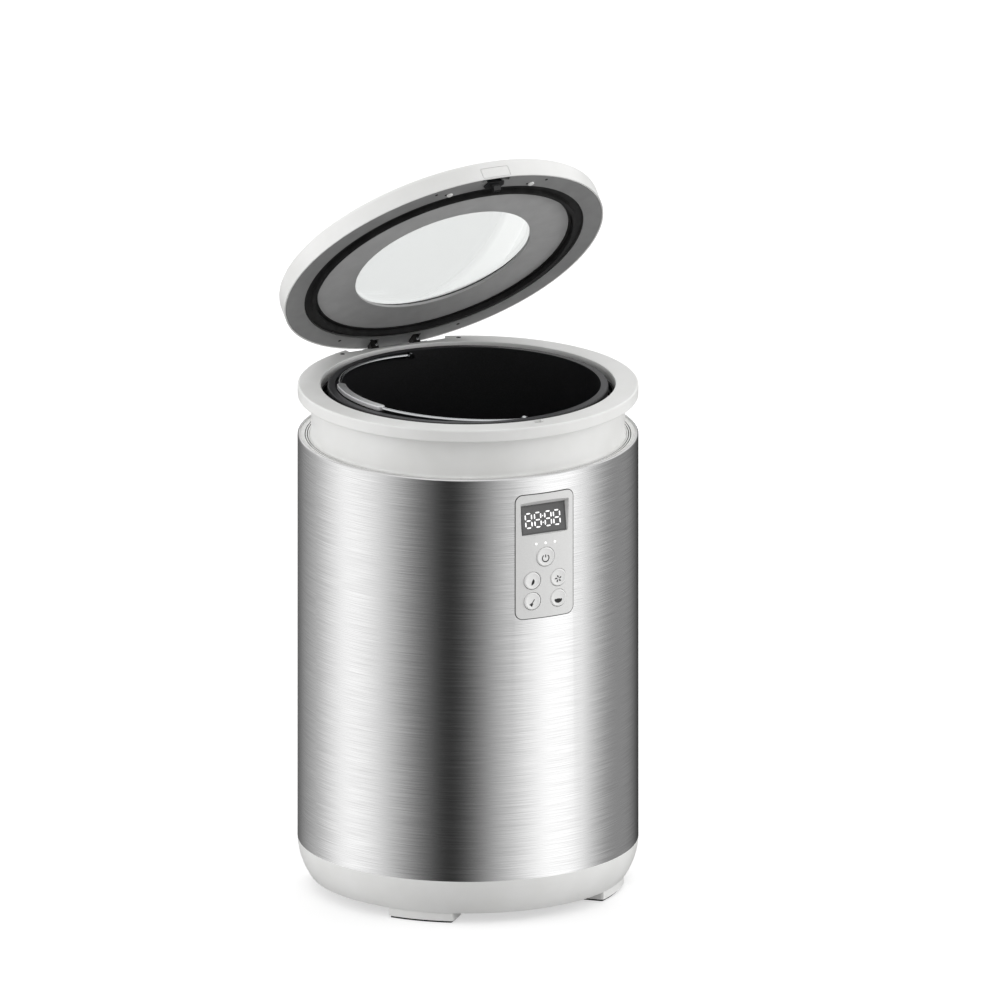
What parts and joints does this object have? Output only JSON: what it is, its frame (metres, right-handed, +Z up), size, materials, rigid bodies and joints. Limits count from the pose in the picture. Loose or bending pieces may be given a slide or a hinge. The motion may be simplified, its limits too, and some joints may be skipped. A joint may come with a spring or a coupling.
{
  "type": "electric food waste composter",
  "caption": "Steel drum kitchen composter with a hinged windowed lid, lift-out bucket with bail, stirring drive, heater, control panel and rear filter drawer.",
  "frame": {"origin": "where the drum's axis meets the surface that the four foot pads stand on", "axes": "+Z up along the drum's axis, -Y out of the control panel, +Y towards the lid's hinge, X to the right as seen from the front"},
  "size_m": [0.25, 0.2615, 0.5582],
  "materials": {
    "white_plastic": "fine satin moulding",
    "foot_rubber": "matt",
    "steel_sleeve": "brushed round the drum",
    "zinc_steel": "zinc plated",
    "chrome_steel": "polished",
    "black_plastic": "fine texture",
    "drawer_plastic": "fine satin moulding",
    "filter_foam": "open carbon foam",
    "grey_plastic": "satin",
    "panel_plastic": "satin",
    "button_plastic": "satin",
    "display_glass": "smoked",
    "light_guide": "translucent",
    "circuit_board": "solder mask",
    "lid_glass": "clear",
    "black_rubber": "matt",
    "spring_steel": "drawn wire",
    "chamber_aluminium": "plain",
    "heater_steel": "heat tinted",
    "insulation": "felted fibre",
    "gearbox_cast": "cast",
    "gear_steel": "machined",
    "bronze": "sintered",
    "bucket_coating": "black non-stick coating",
    "agitator_steel": "dark coating"
  },
  "bodies": {
    "housing": {"base_pan": "white_plastic", "collar": "white_plastic", "shoulder_ring": "white_plastic", "foot_pads": "foot_rubber", "steel_sleeve": "steel_sleeve", "tie_rods": "zinc_steel", "rod_nuts": "zinc_steel", "case_screws": "zinc_steel", "chassis_plate": "zinc_steel", "hinge_bracket": "zinc_steel", "hinge_pin": "chrome_steel", "mains_inlet": "black_plastic", "fan_frame": "black_plastic", "air_duct": "black_plastic", "filter_box": "black_plastic", "panel_fascia": "panel_plastic", "display_lens": "display_glass", "indicator_lights": "light_guide", "control_board": "circuit_board", "panel_board": "circuit_board", "mouth_seal": "black_rubber", "shaft_seal": "black_rubber", "inner_chamber": "chamber_aluminium", "heater_plate": "chamber_aluminium", "heater_element": "heater_steel", "temperature_sensor": "heater_steel", "insulation_wrap": "insulation", "gearbox_housing": "gearbox_cast", "gearbox_cover": "gearbox_cast", "idler_pin": "gear_steel", "motor_can": "gear_steel", "motor_end_cap": "gear_steel", "shaft_bushes": "bronze"},
    "lid": {"lid_shell": "white_plastic", "lid_ring": "grey_plastic", "lid_inner_plate": "grey_plastic", "lid_gasket": "black_rubber", "window_seal": "black_rubber", "lid_window": "lid_glass", "hinge_arms": "zinc_steel", "latch_spring": "spring_steel"},
    "latch": {"latch": "black_plastic"},
    "power_button": {"power_button": "button_plastic"},
    "dry_button": {"dry_button": "button_plastic"},
    "fan_button": {"fan_button": "button_plastic"},
    "clean_button": {"clean_button": "button_plastic"},
    "stir_button": {"stir_button": "button_plastic"},
    "bucket": {"bucket": "bucket_coating", "bucket_bush": "bronze", "bail_rivets": "chrome_steel"},
    "bail": {"bail_wire": "chrome_steel", "bail_grip": "chrome_steel"},
    "agitator": {"agitator": "agitator_steel"},
    "output": {"output_shaft": "gear_steel", "output_gear": "gear_steel"},
    "idler": {"idler_gear": "gear_steel"},
    "motor_rotor": {"motor_rotor": "gear_steel"},
    "fan_rotor": {"fan_rotor": "black_plastic"},
    "drawer": {"filter_drawer": "drawer_plastic", "filter_cartridge": "filter_foam"}
  },
  "joints": [
    {"name": "lid_hinge", "type": "hinge", "parent": "housing", "child": "lid", "pos_m": [0, 0.117, 0.3742], "axis": [-1, 0, 0], "range_deg": [-45, 50]},
    {"name": "latch_slide", "type": "slide", "parent": "lid", "child": "latch", "axis": [0, 0.7071, -0.7071], "range_m": [0, 0.0025], "stiffness_N_per_m": 400, "springref_m": -0.002},
    {"name": "power_press", "type": "slide", "parent": "housing", "child": "power_button", "axis": [0, 1, 0], "range_m": [0, 0.001], "stiffness_N_per_m": 600, "springref_m": -0.001},
    {"name": "dry_press", "type": "slide", "parent": "housing", "child": "dry_button", "axis": [0, 1, 0], "range_m": [0, 0.001], "stiffness_N_per_m": 600, "springref_m": -0.001},
    {"name": "fan_press", "type": "slide", "parent": "housing", "child": "fan_button", "axis": [0, 1, 0], "range_m": [0, 0.001], "stiffness_N_per_m": 600, "springref_m": -0.001},
    {"name": "clean_press", "type": "slide", "parent": "housing", "child": "clean_button", "axis": [0, 1, 0], "range_m": [0, 0.001], "stiffness_N_per_m": 600, "springref_m": -0.001},
    {"name": "stir_press", "type": "slide", "parent": "housing", "child": "stir_button", "axis": [0, 1, 0], "range_m": [0, 0.001], "stiffness_N_per_m": 600, "springref_m": -0.001},
    {"name": "bucket_lift", "type": "slide", "parent": "housing", "child": "bucket", "axis": [0, 0, 1], "range_m": [0, 0.012]},
    {"name": "bail_swing", "type": "hinge", "parent": "bucket", "child": "bail", "pos_m": [0, 0, 0.3758], "axis": [0, 1, 0], "range_deg": [0, 36]},
    {"name": "output_spin", "type": "hinge", "parent": "housing", "child": "output", "pos_m": [0, 0, 0.17], "axis": [0, 0, 1], "continuous": true},
    {"name": "agitator_spin", "type": "hinge", "parent": "bucket", "child": "agitator", "pos_m": [0, 0, 0.23], "axis": [0, 0, 1], "continuous": true},
    {"name": "idler_spin", "type": "hinge", "parent": "housing", "child": "idler", "pos_m": [0.02828, -0.02828, 0.17], "axis": [0, 0, 1], "continuous": true},
    {"name": "motor_spin", "type": "hinge", "parent": "housing", "child": "motor_rotor", "pos_m": [0.00707, -0.0495, 0.12], "axis": [0, 0, 1], "continuous": true},
    {"name": "fan_spin", "type": "hinge", "parent": "housing", "child": "fan_rotor", "pos_m": [0, 0.07797, 0.128], "axis": [0, 0, 1], "continuous": true},
    {"name": "drawer_slide", "type": "slide", "parent": "housing", "child": "drawer", "axis": [0, 1, 0], "range_m": [0, 0.07]}
  ],
  "couplings": [
    {"joint": "agitator_spin", "follows": "output_spin", "ratio": 1},
    {"joint": "idler_spin", "follows": "output_spin", "ratio": -3},
    {"joint": "motor_spin", "follows": "output_spin", "ratio": 8.25}
  ]
}
